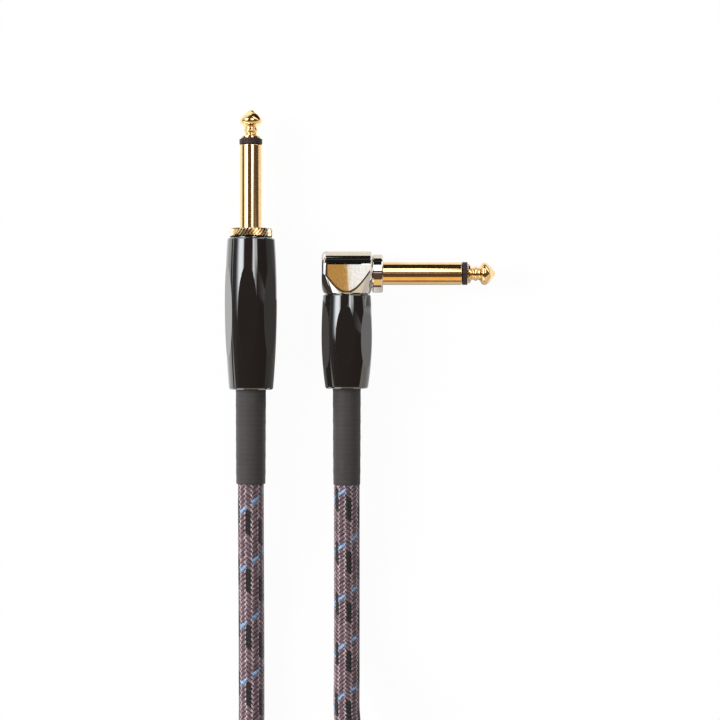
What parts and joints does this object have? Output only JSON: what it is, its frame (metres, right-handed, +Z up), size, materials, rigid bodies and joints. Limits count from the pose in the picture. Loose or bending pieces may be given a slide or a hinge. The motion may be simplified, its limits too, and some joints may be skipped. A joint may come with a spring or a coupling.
{
  "type": "instrument cable",
  "caption": "Instrument cable: a woven cord with a straight and a right-angle two-pole plug, each with a screw-off scalloped barrel over soldered lugs.",
  "frame": {"origin": "on the surface that it lies on, under the middle of the two plugs", "axes": "+X to the right of the plugs, towards the right-angle plug tip; +Y the way the straight plug points; +Z up"},
  "size_m": [0.095, 0.3039, 0.0457],
  "materials": {
    "gold_plate": "polished gold plate",
    "nickel_plate": "polished nickel plate",
    "tinned_brass": "dull tin plate",
    "copper": "bare stranded copper, tinned at the joint",
    "black_gloss": "polished black",
    "black_plastic": "moulded insulator",
    "liner_plastic": "thin translucent tube",
    "shrink_tube": "matt shrunk tube with faint ribs",
    "inner_jacket": "smooth extruded jacket",
    "core_insulation": "natural polyethylene",
    "woven_cord": "herringbone braid with tracers"
  },
  "bodies": {
    "plugs_and_cord": {"straight_tip": "gold_plate", "straight_tip_insulator": "black_plastic", "straight_finger_sleeve": "gold_plate", "straight_knurled_collar": "gold_plate", "straight_shrink_sleeve": "shrink_tube", "straight_core": "core_insulation", "straight_centre_wire": "copper", "straight_shield_tail": "copper", "straight_tip_lug": "tinned_brass", "straight_ground_lug": "tinned_brass", "straight_rear_washer": "black_plastic", "straight_cable_end": "inner_jacket", "angle_tip": "gold_plate", "angle_tip_insulator": "black_plastic", "angle_finger_sleeve": "gold_plate", "angle_bushing": "nickel_plate", "angle_elbow": "nickel_plate", "angle_shrink_sleeve": "shrink_tube", "angle_core": "core_insulation", "angle_centre_wire": "copper", "angle_shield_tail": "copper", "angle_tip_lug": "tinned_brass", "angle_ground_lug": "tinned_brass", "angle_rear_washer": "black_plastic", "angle_cable_end": "inner_jacket", "cord_straight_end": "woven_cord", "cord_coil": "woven_cord", "cord_angle_end": "woven_cord"},
    "straight_liner": {"straight_liner": "liner_plastic"},
    "straight_barrel": {"straight_barrel": "black_gloss"},
    "angle_liner": {"angle_liner": "liner_plastic"},
    "angle_barrel": {"angle_barrel": "black_gloss"}
  },
  "joints": [
    {"name": "straight_barrel_back", "type": "slide", "parent": "plugs_and_cord", "child": "straight_liner", "axis": [0, -1, 0], "range_m": [0, 0.006]},
    {"name": "straight_barrel_unscrew", "type": "hinge", "parent": "straight_liner", "child": "straight_barrel", "pos_m": [-0.03028, 0, 0.00706], "axis": [0, -1, 0], "range_deg": [0, 2700]},
    {"name": "angle_barrel_back", "type": "slide", "parent": "plugs_and_cord", "child": "angle_liner", "axis": [0, -1, 0], "range_m": [0, 0.006]},
    {"name": "angle_barrel_unscrew", "type": "hinge", "parent": "angle_liner", "child": "angle_barrel", "pos_m": [-0.00364, 0, 0.00679], "axis": [0, -1, 0], "range_deg": [0, 2700]}
  ],
  "couplings": [
    {"joint": "straight_barrel_back", "follows": "straight_barrel_unscrew", "m_per_rad": 0.00012732},
    {"joint": "angle_barrel_back", "follows": "angle_barrel_unscrew", "m_per_rad": 0.00012732}
  ]
}
